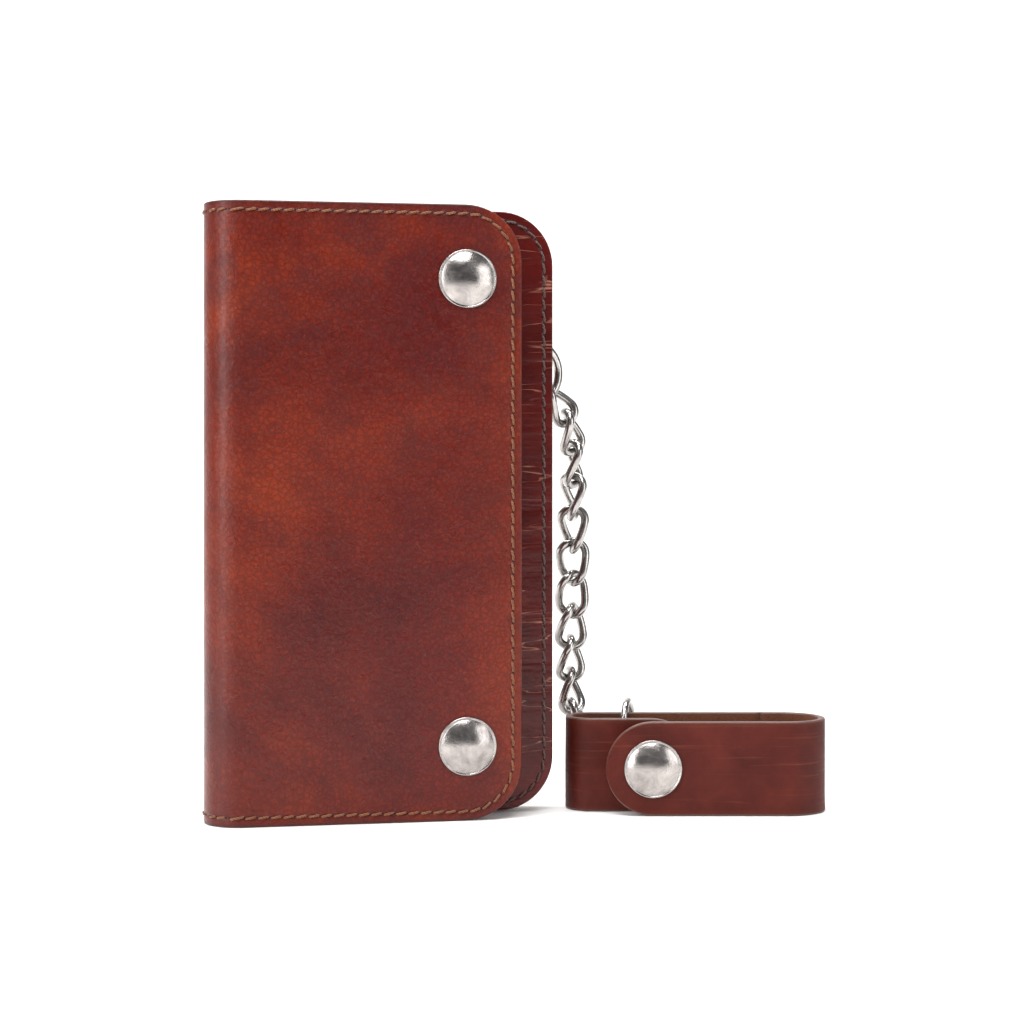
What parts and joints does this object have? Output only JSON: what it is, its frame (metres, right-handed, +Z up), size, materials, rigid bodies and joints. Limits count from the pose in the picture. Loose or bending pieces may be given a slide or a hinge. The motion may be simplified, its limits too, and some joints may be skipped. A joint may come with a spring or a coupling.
{
  "type": "chain wallet",
  "caption": "Long bifold leather wallet with a snap-down flap, a twisted curb chain and a leather belt loop closed by a snap.",
  "frame": {"origin": "middle of the back cover's bottom edge, half way through its leather", "axes": "+Z up along the spine, +X towards the open side, +Y towards the back; the front flap faces -Y"},
  "size_m": [0.183, 0.0617, 0.178],
  "materials": {
    "cover_leather": "glossy, fine pebble grain, reddish cognac brown",
    "glazed_leather": "glazed burgundy with pale creases",
    "pocket_leather": "satin",
    "lining_leather": "matte",
    "strap_leather": "matte reddish brown",
    "zip_tape": "woven",
    "zip_metal": "antique",
    "snap_nickel": "polished nickel",
    "chain_steel": "polished, slightly darkened nickel"
  },
  "bodies": {
    "back_half": {"cover_back": "cover_leather", "back_lining": "lining_leather", "bill_pocket": "pocket_leather", "coin_gusset": "pocket_leather", "coin_panel": "glazed_leather", "zip_binding": "glazed_leather", "zip_tape_left": "zip_tape", "zip_tape_right": "zip_tape", "zip_teeth_left": "zip_metal", "zip_teeth_right": "zip_metal", "zip_stops": "zip_metal", "flap_snap_studs": "snap_nickel", "flap_snap_eyelets": "snap_nickel", "chain_tab": "cover_leather", "tab_rivets": "snap_nickel"},
    "spine_1": {"cover_spine_1": "cover_leather"},
    "spine_2": {"cover_spine_2": "cover_leather"},
    "spine_3": {"cover_spine_3": "cover_leather"},
    "front_half": {"cover_front": "cover_leather", "front_lining": "lining_leather", "slip_pocket": "pocket_leather", "card_slot_1": "pocket_leather", "card_slot_2": "pocket_leather", "card_slot_3": "pocket_leather", "flap_snap_caps": "snap_nickel", "flap_snap_sockets": "snap_nickel", "flap_snap_springs": "snap_nickel"},
    "zip_slider": {"zip_slider": "zip_metal"},
    "zip_pull": {"zip_pull": "zip_metal"},
    "d_ring": {"d_ring": "chain_steel"},
    "chain_link_01": {"chain_link_01": "chain_steel"},
    "chain_link_02": {"chain_link_02": "chain_steel"},
    "chain_link_03": {"chain_link_03": "chain_steel"},
    "chain_link_04": {"chain_link_04": "chain_steel"},
    "chain_link_05": {"chain_link_05": "chain_steel"},
    "chain_link_06": {"chain_link_06": "chain_steel"},
    "chain_link_07": {"chain_link_07": "chain_steel"},
    "chain_link_08": {"chain_link_08": "chain_steel"},
    "chain_link_09": {"chain_link_09": "chain_steel"},
    "chain_link_10": {"chain_link_10": "chain_steel"},
    "chain_link_11": {"chain_link_11": "chain_steel"},
    "chain_link_12": {"chain_link_12": "chain_steel"},
    "chain_link_13": {"chain_link_13": "chain_steel"},
    "loop_ring": {"loop_ring": "chain_steel"},
    "belt_loop": {"loop_strap": "strap_leather", "loop_snap_stud": "snap_nickel", "loop_snap_eyelet": "snap_nickel"},
    "belt_tail": {"loop_tail": "strap_leather", "loop_snap_cap": "snap_nickel", "loop_snap_socket": "snap_nickel", "loop_snap_spring": "snap_nickel"}
  },
  "joints": [
    {"name": "cover_open", "type": "hinge", "parent": "back_half", "child": "spine_1", "pos_m": [-0.04471, 0.00026, 0], "axis": [0, 0, -1], "range_deg": [0, 45]},
    {"name": "spine_fold_2", "type": "hinge", "parent": "spine_1", "child": "spine_2", "pos_m": [-0.05066, -0.00569, 0], "axis": [0, 0, -1], "range_deg": [0, 45]},
    {"name": "spine_fold_3", "type": "hinge", "parent": "spine_2", "child": "spine_3", "pos_m": [-0.05066, -0.01411, 0], "axis": [0, 0, -1], "range_deg": [0, 45]},
    {"name": "spine_fold_4", "type": "hinge", "parent": "spine_3", "child": "front_half", "pos_m": [-0.04471, -0.02006, 0], "axis": [0, 0, -1], "range_deg": [0, 45]},
    {"name": "coin_zip_slide", "type": "slide", "parent": "back_half", "child": "zip_slider", "axis": [0, 0, -1], "range_m": [0, 0.141]},
    {"name": "coin_zip_pull", "type": "hinge", "parent": "zip_slider", "child": "zip_pull", "pos_m": [-0.027, -0.0117, 0.1632], "axis": [-1, 0, 0], "range_deg": [0, 6]},
    {"name": "d_ring_swing", "type": "hinge", "parent": "back_half", "child": "d_ring", "pos_m": [0.0482, 0.004, 0.13024], "axis": [0, 0, 1], "range_deg": [0, 60]},
    {"name": "link_01_swing", "type": "hinge", "parent": "d_ring", "child": "chain_link_01", "pos_m": [0.05302, 0.0064, 0.12495], "axis": [0, -1, 0], "range_deg": [0, 12]},
    {"name": "link_02_swing", "type": "hinge", "parent": "chain_link_01", "child": "chain_link_02", "pos_m": [0.0593, 0.00894, 0.1171], "axis": [1, 0, 0], "range_deg": [-7, 12]},
    {"name": "link_03_swing", "type": "hinge", "parent": "chain_link_02", "child": "chain_link_03", "pos_m": [0.06187, 0.01268, 0.1078], "axis": [0, -1, 0], "range_deg": [0, 12]},
    {"name": "link_04_swing", "type": "hinge", "parent": "chain_link_03", "child": "chain_link_04", "pos_m": [0.06236, 0.01496, 0.09771], "axis": [1, 0, 0], "range_deg": [-8, 12]},
    {"name": "link_05_swing", "type": "hinge", "parent": "chain_link_04", "child": "chain_link_05", "pos_m": [0.06271, 0.01689, 0.08751], "axis": [0, -1, 0], "range_deg": [0, 10]},
    {"name": "link_06_swing", "type": "hinge", "parent": "chain_link_05", "child": "chain_link_06", "pos_m": [0.06301, 0.01856, 0.07727], "axis": [1, 0, 0], "range_deg": [-8, 10]},
    {"name": "link_07_swing", "type": "hinge", "parent": "chain_link_06", "child": "chain_link_07", "pos_m": [0.06323, 0.02047, 0.06708], "axis": [0, -1, 0], "range_deg": [0, 12]},
    {"name": "link_08_swing", "type": "hinge", "parent": "chain_link_07", "child": "chain_link_08", "pos_m": [0.06341, 0.0223, 0.05687], "axis": [1, 0, 0], "range_deg": [-8, 7]},
    {"name": "link_09_swing", "type": "hinge", "parent": "chain_link_08", "child": "chain_link_09", "pos_m": [0.06354, 0.02437, 0.0467], "axis": [0, -1, 0], "range_deg": [0, 12]},
    {"name": "link_10_swing", "type": "hinge", "parent": "chain_link_09", "child": "chain_link_10", "pos_m": [0.06384, 0.02614, 0.0365], "axis": [0.1805, 0.9836, 0], "range_deg": [-5, 3]},
    {"name": "link_11_swing", "type": "hinge", "parent": "chain_link_10", "child": "chain_link_11", "pos_m": [0.06414, 0.02534, 0.0265], "axis": [0.1805, 0.9836, 0], "range_deg": [-5, 3]},
    {"name": "link_12_swing", "type": "hinge", "parent": "chain_link_11", "child": "chain_link_12", "pos_m": [0.06929, 0.02158, 0.01954], "axis": [0.1805, 0.9836, 0], "range_deg": [-5, 3]},
    {"name": "link_13_swing", "type": "hinge", "parent": "chain_link_12", "child": "chain_link_13", "pos_m": [0.07551, 0.01493, 0.01746], "axis": [0.1805, 0.9836, 0], "range_deg": [-5, 3]},
    {"name": "ring_swing", "type": "hinge", "parent": "chain_link_13", "child": "loop_ring", "pos_m": [0.07801, 0.00587, 0.01934], "axis": [0.1805, 0.9836, 0], "range_deg": [-5, 3]},
    {"name": "belt_loop_swing", "type": "hinge", "parent": "loop_ring", "child": "belt_loop", "pos_m": [0.07671, 0.00284, 0.0236], "axis": [-0.9191, 0.3939, 0], "range_deg": [0, 8]},
    {"name": "belt_tail_open", "type": "hinge", "parent": "belt_loop", "child": "belt_tail", "pos_m": [0.13132, -0.02091, 0], "axis": [0, 0, 1], "range_deg": [0, 100]}
  ],
  "couplings": [
    {"joint": "spine_fold_2", "follows": "cover_open", "ratio": 1},
    {"joint": "spine_fold_3", "follows": "cover_open", "ratio": 1},
    {"joint": "spine_fold_4", "follows": "cover_open", "ratio": 1}
  ]
}
